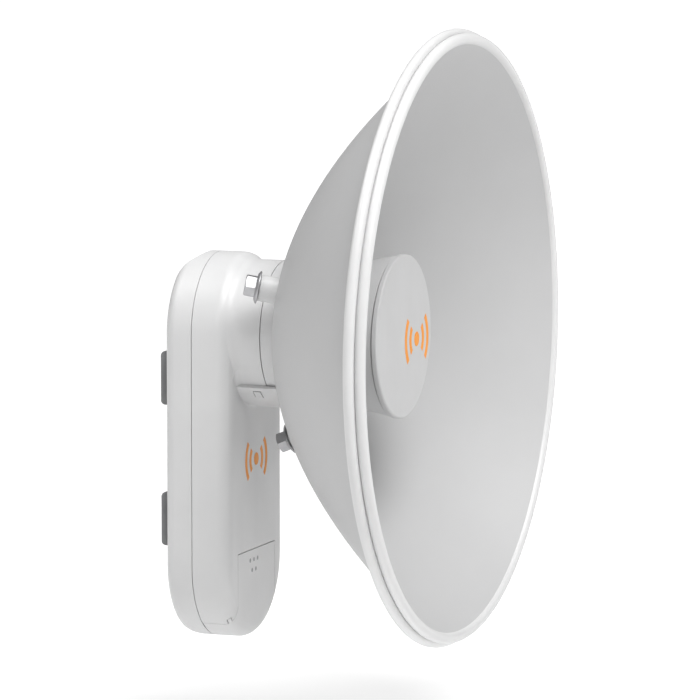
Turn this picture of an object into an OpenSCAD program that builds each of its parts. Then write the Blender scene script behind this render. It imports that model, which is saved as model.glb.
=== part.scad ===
// Outdoor wireless bridge: a slim radio strapped to a pole carries a twist-on dish antenna.
// +Z is up, the pole's axis is the Z axis and the dish looks along -Y.
// h is a distance forward from the pole's axis, along -Y. Sizes are in millimetres.

/* [Dish] */
// diameter over the rim trim
dish_d = 250; // [210:1:320]
// focal length of the bowl's rear surface
focal = 48.2; // [36:0.1:70]
// sheet thickness measured along the boresight
sheet_t = 2.4; // [1.6:0.1:4]
// bowl's rear vertex to the front of the sub-reflector cap
feed_l = 50.5; // [42:0.5:70]
// diameter of the sub-reflector cap
sub_d = 66.8; // [56:0.2:84]
// clear diameter of the round waveguide
guide_d = 40; // [34:0.5:42]
// radius of the circle of hex bolts, at the bowl's surface
bolt_r = 41; // [38:0.5:60]
// how far the bolts' seats stand off the bowl
standoff_l = 7.1; // [4:0.1:12]

/* [Radio] */
// width of the radio
body_w = 64.5; // [62:0.5:84]
// height of the radio
body_h = 159; // [150:1:210]
// depth of the radio, without its neck
body_d = 28.2; // [27:0.2:40]
// wall of both shells
wall = 2.4; // [1.8:0.1:3]
// rounding of the front edge
front_round = 6.2; // [4:0.1:8]
// rounding of the rear edge
rear_round = 5.5; // [3:0.1:7]
// length of the neck that takes the antenna
neck_l = 12.65; // [11:0.05:20]
// step from the radio's side in to the neck
neck_step = 2.95; // [2:0.05:5]

/* [Pole] */
// radius of the pole the saddles fit
pole_r = 25.4; // [24:0.1:26.5]
// height of each saddle
saddle_h = 22.2; // [20:0.2:26]
// distance of each saddle from the middle
saddle_z = 29; // [27:0.5:34]
// height of the strap tunnel
strap_h = 14.6; // [13:0.2:16]

/* [Ports] */
// half width of the sliding cover
cover_x = 20.8; // [20.6:0.1:22]
// radio's bottom edge to the cover's top edge
cover_rise = 36.6; // [26.75:0.05:38.75]

/* [Hidden] */
$fn = 96;
e = 0.01;
body_r = body_w / 2;
end_c = body_h / 2 - body_r;
bore_z = end_c;
h_rear = pole_r - 6.6;
h_front = h_rear + body_d;
h_part = h_rear + 12.5;
seam = 0.15;
neck_r = body_r - neck_step;
h_neck = h_front + neck_l;
h_vtx = h_neck + 1.25;
lip_r = dish_d / 2 - 6;
h_lip = rear_h(lip_r) + sheet_t;
hub_r0 = h_neck + 0.4;
spigot_r = guide_d / 2 + 5;
hole_r = neck_r - 0.9;
socket_h = h_neck + 6.05;
collar_h = socket_h + 3.8;
base_h = collar_h + 4.5;
tilt = atan(bolt_r / (2 * focal));
cap_h = h_vtx + feed_l;
sub_r = sub_d / 2;
pcb_h1 = h_front - 10.8;
pcb_h0 = pcb_h1 - 1.6;
floor_h0 = h_front - 6;
floor_h1 = h_front - 4.4;
cover_top = cover_rise - body_h / 2;
scr_x = body_r - 9.25;
scr_z = end_c + 10.75;
jack_x = 11.3;
jack_top = cover_top - 4.1;
jack_h0 = h_front - 15.6;
jack_h1 = h_front - 2.6;
gland_h = h_front - 9.1;
tab_h = h_neck - 4.05;
tab_a = 50;
turn = 40;
bp_n = 30;
bp_0 = hole_r + 0.1;
bp_s = (lip_r - bp_0) / bp_n;
cone_scr = sub_r - 4;
saddle_t = 2.6;
strap_t = 4.8;
chan_r = pole_r + 1.6;
tunnel_r = pole_r + saddle_t + strap_t;
white = [0.93, 0.93, 0.93];
grey = [0.62, 0.63, 0.64];
dark = [0.2, 0.2, 0.21];
metal = [0.72, 0.73, 0.75];
orange = [0.93, 0.55, 0.17];

// distance forward of the bowl's rear surface at a given radius
function rear_h(r) = h_vtx + r * r / (4 * focal);

// radii where the bowl's section changes slope
function bp(k) = bp_0 + bp_s * k;

// local x is X, local y is Z and local z is h
module ahead() {
  rotate([90, 0, 0]) children();
}

module on_bore() {
  translate([0, bore_z, 0]) children();
}

// each of the six case screws
module at_case_screws() {
  for (x = [-scr_x, scr_x], z = [-scr_z, 0, scr_z]) translate([x, z, 0]) children();
}

// each of the three hex bolts, its axis square to the bowl and pointing back from it
module at_bolts() {
  on_bore() for (a = [-90, 30, 150]) rotate([0, 0, a])
    translate([bolt_r, 0, rear_h(bolt_r)]) rotate([0, 180 - tilt, 0]) children();
}

module at_ring(n, r, a0) {
  on_bore() for (i = [0:n - 1]) rotate([0, 0, a0 + 360 * i / n]) translate([r, 0, 0]) children();
}

// a pie slice of the plane, a0 to a1 degrees
module slice(a0, a1, r) {
  m = (a0 + a1) / 2;
  polygon([[0, 0], [r * cos(a0), r * sin(a0)], [1.3 * r * cos(m), 1.3 * r * sin(m)],
    [r * cos(a1), r * sin(a1)]]);
}

module ring(ro, ri, h0, h1) {
  translate([0, 0, h0]) difference() {
    cylinder(r = ro, h = h1 - h0);
    translate([0, 0, -1]) cylinder(r = ri, h = h1 - h0 + 2);
  }
}

module ring_part(ro, ri, h0, h1, a0, a1) {
  intersection() {
    ring(ro, ri, h0, h1);
    translate([0, 0, h0 - 1]) linear_extrude(h1 - h0 + 2) slice(a0, a1, ro * 1.6);
  }
}

// section of a rounded slab; both = 1 gives the full width, 0 the right half
module slab(r, h0, h1, c0, c1, both) {
  c = max(c0, c1);
  translate([-both * (r - c), h0]) square([(1 + both) * (r - c), h1 - h0]);
  translate([-both * r, h0 + c0]) square([(1 + both) * r, h1 - h0 - c0 - c1]);
  if (c0 > 0) for (s = [both == 1 ? -1 : 1:2:1]) translate([s * (r - c0), h0 + c0]) circle(c0);
  if (c1 > 0) for (s = [both == 1 ? -1 : 1:2:1]) translate([s * (r - c1), h1 - c1]) circle(c1);
  if (c0 > 0 && c0 < c) translate([-both * (r - c0), h0]) square([(1 + both) * (r - c0), c0 + 1]);
  if (c1 > 0 && c1 < c) translate([-both * (r - c1), h1 - c1 - 1]) square([(1 + both) * (r - c1), c1 + 1]);
}

// upright box with half-round ends and rounded edges
module pill(r, h0, h1, c0, c1) {
  for (s = [-1, 1]) translate([0, s * end_c, 0]) rotate_extrude() slab(r, h0, h1, c0, c1, 0);
  rotate([90, 0, 0]) linear_extrude(2 * end_c, center = true) slab(r, h0, h1, c0, c1, 1);
}

module block(x0, x1, z0, z1, h0, h1) {
  translate([x0, z0, h0]) cube([x1 - x0, z1 - z0, h1 - h0]);
}

// round bar about the pole's axis
module about_pole(r, z0, z1) {
  translate([0, z1, 0]) rotate([90, 0, 0]) cylinder(r = r, h = z1 - z0);
}

// generic broadcast sign: a dot between two pairs of waves
module waves() {
  circle(2.4);
  for (r = [6.2, 10.6], s = [0, 180]) intersection() {
    difference() {
      circle(r + 1.05);
      circle(r - 1.05);
    }
    rotate([0, 0, s]) slice(-40, 40, 20);
  }
}

// solid between the bowl's rear surface, moved forward by t, and a plane far in front
module bowl_side(r1, t, far) {
  k0 = -floor((bp_0 - 1) / bp_s);
  k1 = ceil((r1 - bp_0) / bp_s);
  rotate_extrude() polygon(concat([[0, far], [0, h_vtx + t]],
    [for (k = [k0:k1]) [bp(k), rear_h(bp(k)) + t]], [[bp(k1), far]]));
}

// ---- antenna -------------------------------------------------------------------------------

// spun bowl with a flat edge that the rim trim grips
module reflector_shape(k0) {
  rotate_extrude() polygon(concat([for (k = [k0:bp_n]) [bp(k), rear_h(bp(k))]],
    [[lip_r + 2.2, h_lip - 1.9], [lip_r + 2.2, h_lip - 0.4]],
    [for (k = [bp_n:-1:k0]) [bp(k), rear_h(bp(k)) + sheet_t]]));
}

module reflector() {
  color(grey) ahead() difference() {
    on_bore() reflector_shape(0);
    at_bolts() translate([0, 0, -12]) cylinder(r = 2.8, h = 24);
  }
}

// soft double bead around the bowl's edge
module rim_trim() {
  color(white) ahead() on_bore() difference() {
    rotate_extrude() union() {
      translate([lip_r + 1.9, h_lip - 1.0]) circle(2.5);
      translate([lip_r + 3.6, h_lip - 5.0]) circle(2.4);
      translate([lip_r + 0.6, h_lip - 5.0]) square([3, 4]);
    }
    reflector_shape(bp_n - 4);
  }
}

// socket half of the twist joint
module hub_ring() {
  color(white) ahead() on_bore() difference() {
    intersection() {
      cylinder(r = neck_r, h = collar_h);
      union() {
        difference() {
          cylinder(r = neck_r + 1, h = collar_h);
          bowl_side(neck_r + 2, 0, collar_h + 5);
        }
        cylinder(r = hole_r, h = collar_h);
      }
    }
    translate([0, 0, -1]) cylinder(r = spigot_r + 9, h = hub_r0 + 1);
    translate([0, 0, -1]) cylinder(r = spigot_r + 0.4, h = socket_h + 1);
    translate([0, 0, -1]) cylinder(r = guide_d / 2 + 1.7, h = collar_h + 2);
    // room the lugs turn in, closed 1 degree behind their rest place
    for (a = [0, 120, 240]) {
      ring_part(spigot_r + 2, spigot_r - 1, hub_r0 + 2.5, socket_h, a - turn - 14, a + 13);
      ring_part(spigot_r + 2, spigot_r - 1, hub_r0 - 1, hub_r0 + 3, a - turn - 14, a - turn + 14);
    }
    for (i = [0:5]) rotate([0, 0, 30 + 60 * i]) translate([spigot_r - 0.4, 0, socket_h - 1]) {
      cylinder(r = 2.3, h = 3);
      cylinder(r = 1.3, h = 20);
    }
  }
}

// countersunk-depth screws that draw the feed base onto the socket
module hub_screws() {
  color(metal) ahead() at_ring(6, spigot_r - 0.4, 30) {
    translate([0, 0, socket_h + 0.3]) cylinder(r = 2.1, h = 1.7);
    translate([0, 0, socket_h + 1]) cylinder(r = 1.25, h = base_h - socket_h - 2);
  }
}

// sleeves between the bowl's back and the bolt flanges
module standoffs() {
  color(white) ahead() difference() {
    at_bolts() translate([0, 0, -4]) cylinder(r = 5.6, h = standoff_l + 4);
    on_bore() bowl_side(bolt_r + 20, 0, h_lip + 10);
    at_bolts() translate([0, 0, -12]) cylinder(r = 2.8, h = 40);
  }
}

module hub_bolts() {
  color(metal) ahead() at_bolts() {
    translate([0, 0, standoff_l]) cylinder(r = 6.6, h = 1.5);
    translate([0, 0, standoff_l + 1]) cylinder(r = 4.62, h = 4.9, $fn = 6);
    translate([0, 0, -9.4]) cylinder(r = 2.5, h = standoff_l + 10);
  }
}

module hub_nuts() {
  color(metal) ahead() at_bolts() translate([0, 0, -9.2]) difference() {
    cylinder(r = 4.62, h = 3.6, $fn = 6);
    translate([0, 0, -1]) cylinder(r = 2.55, h = 6);
  }
}

// plate inside the bowl that the bolts clamp and the feed stands on
module feed_base() {
  color(grey) ahead() difference() {
    on_bore() difference() {
      intersection() {
        bowl_side(bolt_r + 8, sheet_t, base_h + 30);
        union() {
          translate([0, 0, collar_h]) cylinder(r = neck_r + 2.8, h = base_h - collar_h);
          difference() {
            cylinder(r = bolt_r + 7, h = base_h + 20);
            bowl_side(bolt_r + 10, sheet_t + 3.2, base_h + 40);
          }
        }
      }
      translate([0, 0, -1]) cylinder(r = hole_r + 0.1, h = collar_h + 1);
      translate([0, 0, -1]) cylinder(r = guide_d / 2 + 1.6, h = base_h + 40);
    }
    at_bolts() translate([0, 0, -30]) cylinder(r = 2.8, h = 40);
    at_bolts() translate([0, 0, -30]) cylinder(r = 5.4, h = 24.4);
    at_ring(6, spigot_r - 0.4, 30) cylinder(r = 1.3, h = base_h - 0.8);
    at_ring(3, cone_scr, 90) translate([0, 0, collar_h + 0.6]) cylinder(r = 1.3, h = 20);
  }
}

// round waveguide of the antenna
module feed_tube() {
  color(metal) ahead() on_bore() {
    ring(guide_d / 2 + 1.5, guide_d / 2, h_neck + 0.65, base_h + 19);
    ring(guide_d / 2 + 3.4, guide_d / 2 + 1, base_h, base_h + 1.2);
  }
}

// dielectric cone between the waveguide's mouth and the sub-reflector
module feed_plug() {
  r0 = guide_d / 2 - 0.1;
  h0 = base_h + 10;
  h1 = base_h + 19.3;
  color(white) ahead() on_bore() difference() {
    rotate_extrude() polygon([[0, h0], [r0 - 6, h0], [r0, h0 + 5], [r0, h1], [sub_r - 3.4, cap_h - 4.9],
      [0, cap_h - 4.9]]);
    for (i = [0:2]) rotate([0, 0, 120 * i + 30]) translate([12, 0, cap_h - 12]) cylinder(r = 1.3, h = 12);
  }
}

// thin tapered housing around the feed
module feed_cone() {
  r0 = sub_r - 7.2;
  r1 = sub_r - 0.5;
  h1 = cap_h - 2.8;
  color(grey) ahead() difference() {
    on_bore() rotate_extrude() polygon([[r0 - 1.6, base_h], [r0 + 5.5, base_h], [r0 + 5.5, base_h + 1.6],
      [r0 + 0.3, base_h + 1.6], [r1, h1], [r1 - 1.4, h1], [r0 - 1.6, base_h + 1.6]]);
    at_ring(3, cone_scr, 90) translate([0, 0, base_h - 1]) cylinder(r = 1.5, h = 4);
  }
}

module cone_screws() {
  color(metal) ahead() at_ring(3, cone_scr, 90) {
    translate([0, 0, base_h + 1.6]) cylinder(r = 2.2, h = 1.6);
    translate([0, 0, collar_h + 0.8]) cylinder(r = 1.25, h = base_h - collar_h + 1.5);
  }
}

// spun metal splash plate
module subreflector() {
  color(metal) ahead() on_bore() difference() {
    translate([0, 0, cap_h - 4.9]) cylinder(r = sub_r - 2.7, h = 2);
    for (i = [0:2]) rotate([0, 0, 120 * i + 30]) translate([12, 0, cap_h - 12]) cylinder(r = 1.3, h = 12);
  }
}

module sub_screws() {
  color(metal) ahead() on_bore() for (i = [0:2]) rotate([0, 0, 120 * i + 30]) translate([12, 0, 0]) {
    translate([0, 0, cap_h - 2.9]) cylinder(r = 2.2, h = 1.2);
    translate([0, 0, cap_h - 10]) cylinder(r = 1.25, h = 7.5);
  }
}

module disc_cap() {
  color(white) ahead() on_bore() difference() {
    rotate_extrude() union() {
      translate([0, cap_h - 1.2]) square([sub_r - 0.8, 1.2]);
      translate([sub_r - 0.8, cap_h - 0.8]) circle(0.8);
      translate([sub_r - 2, cap_h - 2.4]) square([2, 1.6]);
    }
    translate([0, 0, cap_h - 3]) cylinder(r = sub_r - 1.8, h = 1.6);
  }
}

module disc_emblem() {
  color(orange) ahead() on_bore() translate([15.2, -2.6, cap_h]) linear_extrude(0.35)
    scale([1.25, 1.25]) waves();
}

// ---- radio case ----------------------------------------------------------------------------

// neck with a soft sweep out to the case's rounded edge
module neck_outer() {
  fil = 6;
  c1x = body_r - front_round;
  c1h = h_front - front_round;
  cx = neck_r + fil;
  ch = c1h + sqrt((front_round + fil) * (front_round + fil) - (cx - c1x) * (cx - c1x));
  tx = c1x + front_round * (cx - c1x) / (front_round + fil);
  on_bore() rotate_extrude() difference() {
    union() {
      translate([0, h_part + 3]) square([neck_r, h_neck - h_part - 3]);
      translate([0, c1h]) square([tx, ch - c1h]);
    }
    translate([cx, ch]) circle(fil);
  }
  intersection() {
    on_bore() rotate_extrude() difference() {
      translate([neck_r - 2, h_front - 1]) square([4.8, 3.8]);
      translate([neck_r + 2.8, h_front + 2.8]) circle(2.8);
    }
    block(-c1x - 0.4, c1x + 0.4, 0, bore_z, h_front - 1, h_front + 4);
  }
}

// hood under the neck, over the twist joint
module hood() {
  on_bore() ring_part(neck_r + 1.8, neck_r - 1, h_front - 0.8, h_neck + 4.8, -138, -42);
}

module front_shell() {
  color(white) ahead() difference() {
    union() {
      difference() {
        union() {
          pill(body_r, h_part + seam, h_front, 0, front_round);
          neck_outer();
          hood();
        }
        pill(body_r - wall, h_part - 1, h_front - wall, 0, 3.6);
        on_bore() translate([0, 0, h_front - 5]) cylinder(r = neck_r - 2.5, h = neck_l + 3.1);
        // column the sliding cover fills
        block(-cover_x - 0.3, cover_x + 0.3, -body_h, cover_top + 0.3, h_part - 1, h_front + 2);
        block(-cover_x - 2.1, cover_x + 2.1, -body_h, cover_top + 0.3, floor_h1, h_front - wall);
      }
      on_bore() ring(spigot_r, guide_d / 2 + 2.2, h_neck - 1.9, socket_h - 0.5);
      // bayonet lugs
      for (a = [0, 120, 240])
        on_bore() ring_part(spigot_r + 1.7, spigot_r - 1, h_neck + 3.2, socket_h - 0.5, a - 12, a + 12);
      // bosses that clamp the board
      for (x = [-scr_x, scr_x], z = [0, scr_z])
        translate([x, z, pcb_h1]) cylinder(r = 3, h = h_front - wall - pcb_h1 + 0.5);
      for (x = [-scr_x, scr_x]) translate([x, -scr_z, pcb_h1]) cylinder(r = 3, h = floor_h0 - pcb_h1 + 0.5);
      port_floor();
    }
    at_case_screws() translate([0, 0, pcb_h0]) cylinder(r = 1.45, h = 6.6);
    // hood's clearance around the antenna's ring
    on_bore() ring(neck_r + 0.5, neck_r - 1.2, h_neck, h_neck + 9);
    on_bore() translate([0, 0, h_part]) cylinder(r = guide_d / 2 + 2.2, h = 60);
    // seal groove
    on_bore() ring(spigot_r + 2.8, spigot_r + 1.4, h_neck - 1.2, h_neck + 0.1);
    for (s = [0, 1]) on_bore() rotate([0, 0, s == 0 ? 180 + tab_a : -tab_a])
      block(neck_r - 6, neck_r + 6, -2.35, 2.35, tab_h - 1.8, tab_h + 1.8);
    translate([-13, cover_top - 13.1, floor_h0 - 1]) cylinder(r = 2.3, h = 4);
    at_lights() translate([0, 0, floor_h0 - 1]) cylinder(r = 1.1, h = 4);
  }
}

// shelf behind the cover, with its side walls and the window for the jack
module port_floor() {
  difference() {
    intersection() {
      pill(body_r - wall + 0.1, h_part, h_front - 1, 0, 3.6);
      union() {
        block(-cover_x - 4.2, cover_x + 4.2, -body_h, cover_top + 2.3, floor_h0, floor_h1);
        block(-cover_x - 4.2, cover_x + 4.2, cover_top + 0.3, cover_top + 2.3, floor_h0, h_front - wall + 0.5);
        for (s = [-1, 1]) block(s * (cover_x + 3.15) - 1.05, s * (cover_x + 3.15) + 1.05, -body_h,
          cover_top + 2.3, floor_h0, h_front - wall + 0.5);
      }
    }
    block(jack_x - 8.2, jack_x + 8.2, -body_h, jack_top + 0.4, h_part, h_front);
    difference() {
      block(-cover_x - 0.3, cover_x + 0.3, -body_h, cover_top - 10, h_part, h_front);
      pill(body_r - 2.85, h_part - 1, h_front + 1, 0, 0);
    }
  }
}

module at_lights() {
  for (p = [[-7.1, 0], [-2.9, 0], [1.3, 0], [-5, -4.2], [-0.8, -4.2]])
    translate([p[0], cover_top - 4.2 + p[1], 0]) children();
}

module rear_shell() {
  color(white) ahead() difference() {
    union() {
      difference() {
        pill(body_r, h_rear, h_part - seam, rear_round, 0);
        difference() {
          pill(body_r - wall, h_rear + wall, h_part + 1, 3.4, 0);
          about_pole(chan_r + 2.2, -body_h, body_h);
        }
      }
      // walls of the strap tunnels
      for (s = [-1, 1]) intersection() {
        about_pole(tunnel_r + 1.4, s * saddle_z - saddle_h / 2 - 2.1, s * saddle_z + saddle_h / 2 + 2.1);
        block(-body_r + 2.7, body_r - 2.7, -body_h, body_h, h_rear + 2, h_front);
      }
      at_saddle_screws() translate([0, 0, h_part - 3]) cylinder(r = 2.8, h = pcb_h0 - 0.4 - h_part + 3);
      at_case_screws() translate([0, 0, h_rear + 1]) cylinder(r = 3.8, h = pcb_h0 - h_rear - 1);
      translate([scr_x, -end_c - 1, h_rear + 1]) cylinder(r = 3.4, h = 8);
    }
    about_pole(chan_r, -body_h, body_h);
    for (s = [-1, 1]) about_pole(tunnel_r, s * saddle_z - saddle_h / 2 - 0.3, s * saddle_z + saddle_h / 2 + 0.3);
    at_saddle_screws() translate([0, 0, h_rear]) cylinder(r = 1.3, h = 14.6);
    at_case_screws() {
      translate([0, 0, h_rear - 1]) cylinder(r = 2.9, h = 3.7);
      translate([0, 0, h_rear]) cylinder(r = 1.45, h = 30);
    }
    // ground screw's hole and the vent's hole
    translate([scr_x, -end_c - 1, h_rear - 1]) cylinder(r = 2.05, h = 9);
    translate([scr_x, end_c - 1, h_rear - 1]) cylinder(r = 3.2, h = 6);
  }
}

module case_gasket() {
  color(dark) ahead() difference() {
    pill(body_r - 0.9, h_part - seam, h_part + seam, 0, 0);
    pill(body_r - 1.9, h_part - 1, h_part + 1, 0, 0);
    block(-cover_x - 0.6, cover_x + 0.6, -body_h, -end_c, h_part - 1, h_part + 1);
  }
}

module case_screws() {
  color(metal) ahead() at_case_screws() {
    translate([0, 0, h_rear + 0.5]) cylinder(r = 2.6, h = 2.2);
    translate([0, 0, h_rear + 2]) cylinder(r = 1.4, h = pcb_h1 + 4.4 - h_rear - 2);
  }
}

module hub_seal() {
  color(dark) ahead() on_bore() translate([0, 0, h_neck - 0.55]) rotate_extrude()
    translate([spigot_r + 2.1, 0]) circle(0.65);
}

// push tab that frees the twist joint, pressed towards the boresight
module lock_tab() {
  block(neck_r - 3.2, neck_r + 1.9, -2.05, 2.05, tab_h - 1.5, tab_h + 1.5);
  block(neck_r - 3.8, neck_r - 2.8, -3.3, 3.3, tab_h - 1.8, tab_h + 1.8);
}

module lock_tab_left() {
  color(white) ahead() on_bore() rotate([0, 0, 180 + tab_a]) lock_tab();
}

module lock_tab_right() {
  color(white) ahead() on_bore() rotate([0, 0, -tab_a]) lock_tab();
}

// leaf that carries both tabs' return force
module lock_spring() {
  color(metal) ahead() on_bore() {
    ring_part(guide_d / 2 + 3.7, guide_d / 2 + 3.2, tab_h - 1.4, tab_h + 1.4, -150, -30);
    rotate([0, 0, -90]) block(guide_d / 2 + 3.4, neck_r - 2.7, -2.5, 2.5, tab_h - 1.4, tab_h + 1.4);
  }
}

// ---- port cover ----------------------------------------------------------------------------

module port_cover() {
  color(white) ahead() difference() {
    intersection() {
      pill(body_r, h_part, h_front, 0, front_round);
      union() {
        difference() {
          block(-cover_x, cover_x, -body_h, cover_top, h_part + 0.3, h_front + 1);
          pill(body_r - 2.3, h_part - 1, h_front - 2.2, 0, 4);
        }
        for (s = [-1, 1]) {
          block(s * (cover_x - 0.65) - 0.65, s * (cover_x - 0.65) + 0.65, -body_h, cover_top - 1,
            floor_h1 + 0.4, h_front - 2);
          block(s * (cover_x + 0.35) - 1.35, s * (cover_x + 0.35) + 1.35, -body_h, cover_top - 1,
            floor_h1 + 0.4, h_front - wall - 0.4);
        }
      }
    }
    translate([jack_x, -end_c - 10, gland_h]) rotate([90, 0, 0]) cylinder(r = 4.3, h = 40);
    at_lights() translate([0, 0, h_front - 4]) cylinder(r = 0.9, h = 6);
  }
}

// strip under the port's upper wall, behind the cover
module cover_seal() {
  color(dark) ahead() block(-17, 17, cover_top - 1.1, cover_top + 0.3, floor_h1, h_front - 2.7);
}

module cover_lenses() {
  color(grey) ahead() at_lights() translate([0, 0, h_front - 2.2]) cylinder(r = 0.9, h = 2.2);
}

// soft sleeve the network cable leaves through
module cable_gland() {
  color(dark) ahead() difference() {
    union() {
      intersection() {
        pill(body_r, h_part, h_front, 0, front_round);
        translate([jack_x, -end_c - 23.2, gland_h]) rotate([90, 0, 0]) cylinder(r = 4.3, h = 20);
      }
      translate([jack_x, -end_c - 23.2, gland_h]) rotate([90, 0, 0]) cylinder(r = 5.2, h = 1.4);
    }
    translate([jack_x, -end_c, gland_h]) rotate([90, 0, 0]) cylinder(r = 3.2, h = 60);
  }
}

// ---- pole saddles --------------------------------------------------------------------------

module at_saddle_screws() {
  for (s = [-1, 1], t = [-1, 1], x = [-15, 15])
    translate([x, s * saddle_z + t * (saddle_h / 2 - 2.5), 0]) children();
}

// saddle seen from its side, its rear corners rounded: x is Z and y is h
module lug_side(z0, z1) {
  c = 1.8;
  h0 = pole_r - 10.8;
  translate([z0 + c, h0]) square([z1 - z0 - 2 * c, h_front - h0]);
  translate([z0, h0 + c]) square([z1 - z0, h_front - h0 - c]);
  for (z = [z0 + c, z1 - c]) translate([z, h0 + c]) circle(c);
}

module saddle(zc) {
  z0 = zc - saddle_h / 2;
  z1 = zc + saddle_h / 2;
  difference() {
    union() {
      intersection() {
        about_pole(pole_r + saddle_t, z0, z1);
        translate([-body_r + 8, 0, 0]) rotate([90, 0, 90]) linear_extrude(body_w - 16) lug_side(z0, z1);
      }
      intersection() {
        difference() {
          about_pole(tunnel_r, z0, z1);
          about_pole(pole_r + 1, zc - strap_h / 2, zc + strap_h / 2);
        }
        union() {
          block(-body_r + 8, body_r - 8, z0 - 1, zc - strap_h / 2, h_rear + 0.1, h_front);
          block(-body_r + 8, body_r - 8, zc + strap_h / 2, z1 + 1, h_rear + 0.1, h_front);
        }
      }
    }
    about_pole(pole_r, z0 - 1, z1 + 1);
    at_saddle_screws() {
      translate([0, 0, -20]) cylinder(r = 2.1, h = h_rear + 25.2);
      cylinder(r = 1.5, h = 60);
    }
  }
}

module saddle_upper() {
  color(grey) ahead() saddle(saddle_z);
}

module saddle_lower() {
  color(grey) ahead() saddle(-saddle_z);
}

module saddle_screws() {
  color(metal) ahead() at_saddle_screws() {
    translate([0, 0, h_rear + 3.6]) cylinder(r = 1.9, h = 1.6);
    translate([0, 0, h_rear + 4.6]) cylinder(r = 1.25, h = 9.8);
  }
}

module ground_screw() {
  color(metal) ahead() translate([scr_x, -end_c - 1, 0]) {
    translate([0, 0, h_rear - 3.4]) cylinder(r = 3.6, h = 2.6);
    translate([0, 0, h_rear - 1.5]) cylinder(r = 2, h = 9.3);
  }
}

module ground_washer() {
  color(metal) ahead() translate([scr_x, -end_c - 1, h_rear - 0.8]) difference() {
    cylinder(r = 4.3, h = 0.8);
    translate([0, 0, -1]) cylinder(r = 2.1, h = 3);
  }
}

module vent_plug() {
  color(dark) ahead() translate([scr_x, end_c - 1, h_rear]) {
    cylinder(r = 3.2, h = 3);
  }
}

module radio_emblem() {
  color(orange) ahead() translate([0, bore_z - 53, h_front]) linear_extrude(0.35)
    scale([1.08, 1.08]) waves();
}

// ---- electronics ---------------------------------------------------------------------------

module main_board() {
  color([0.1, 0.4, 0.2]) ahead() difference() {
    pill(body_r - 3.85, pcb_h0, pcb_h1, 0, 0);
    block(jack_x - 8.2, jack_x + 8.2, -body_h, jack_top + 0.4, pcb_h0 - 1, pcb_h1 + 1);
    block(-body_r, body_r, -body_h, -end_c - 19, pcb_h0 - 1, pcb_h1 + 1);
    at_case_screws() translate([0, 0, pcb_h0 - 1]) cylinder(r = 1.7, h = 5);
  }
}

module shield_can() {
  z0 = -34;
  z1 = 12;
  color(metal) ahead() difference() {
    block(-18.5, 18.5, z0, z1, pcb_h1, pcb_h1 + 4.6);
    block(-18.1, 18.1, z0 + 0.4, z1 - 0.4, pcb_h1 - 1, pcb_h1 + 4.2);
  }
}

module board_chips() {
  color(dark) ahead() {
    block(-8, 8, -14, 2, pcb_h1, pcb_h1 + 1.4);
    block(-14, -4, -30, -20, pcb_h1, pcb_h1 + 1.2);
    block(3, 13, -30, -18, pcb_h1, pcb_h1 + 1.2);
    block(-16.5, -11, -12, -4, pcb_h1, pcb_h1 + 1);
  }
}

module lan_transformer() {
  color(dark) ahead() block(-21, -7.5, cover_top - 1, cover_top + 6, pcb_h1, pcb_h1 + 4.4);
}

// socket with its mouth down, sunk into a notch of the board
module ethernet_jack() {
  color(metal) ahead() difference() {
    block(jack_x - 7.8, jack_x + 7.8, jack_top - 18, jack_top, jack_h0, jack_h1);
    block(jack_x - 5.9, jack_x + 5.9, jack_top - 19, jack_top - 2, jack_h0 + 2.6, jack_h0 + 9.6);
    block(jack_x - 3.2, jack_x + 3.2, jack_top - 19, jack_top - 4, jack_h0 + 9, jack_h0 + 11.4);
  }
}

module jack_contacts() {
  color([0.85, 0.7, 0.3]) ahead() for (i = [-3.5:1:3.5])
    block(jack_x + i * 1.02 - 0.2, jack_x + i * 1.02 + 0.2, jack_top - 14, jack_top - 2, jack_h0 + 2.6,
      jack_h0 + 3.2);
}

module status_leds() {
  color([0.9, 0.9, 0.8]) ahead() at_lights() translate([-0.6, -0.6, pcb_h1]) cube([1.2, 1.2, 0.7]);
}

// light guides on a common bar
module light_pipes() {
  color([0.85, 0.9, 0.92]) ahead() {
    at_lights() translate([0, 0, pcb_h1 + 0.9]) cylinder(r = 1, h = 5.8);
    block(-7.9, 2.1, cover_top - 9.2, cover_top - 3.4, pcb_h1 + 2, pcb_h1 + 3.2);
  }
}

module reset_switch() {
  color(dark) ahead() translate([-13, cover_top - 13.1, pcb_h1]) {
    translate([-3, -3, 0]) cube([6, 6, 1.4]);
    cylinder(r = 1.2, h = 2);
  }
}

module reset_button() {
  color([0.75, 0.2, 0.15]) ahead() translate([-13, cover_top - 13.1, 0]) {
    translate([0, 0, pcb_h1 + 3.2]) cylinder(r = 2, h = 4.2);
    translate([0, 0, pcb_h1 + 3.2]) cylinder(r = 2.9, h = 0.8);
  }
}

// blind end of the waveguide, on the board
module omt_cup() {
  r = guide_d / 2;
  color(metal) ahead() on_bore() difference() {
    translate([0, 0, pcb_h1]) cylinder(r = r + 1.7, h = h_neck + 0.25 - pcb_h1);
    translate([0, 0, pcb_h1 + 2]) cylinder(r = r, h = 60);
    at_probe(0) cylinder(r = 0.7, h = 4);
    at_probe(1) cylinder(r = 0.7, h = 4);
  }
}

// foot of each probe, its axis pointing inwards from outside the cup
module at_probe(i) {
  rotate([0, 0, 90 * i]) translate([guide_d / 2 + 1.7, 0, pcb_h1 + 9 + 4 * i]) rotate([0, -90, 0]) children();
}

module probes() {
  color([0.85, 0.7, 0.3]) ahead() on_bore() {
    at_probe(0) cylinder(r = 0.7, h = 12.5);
    at_probe(1) cylinder(r = 0.7, h = 12.5);
  }
}

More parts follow.
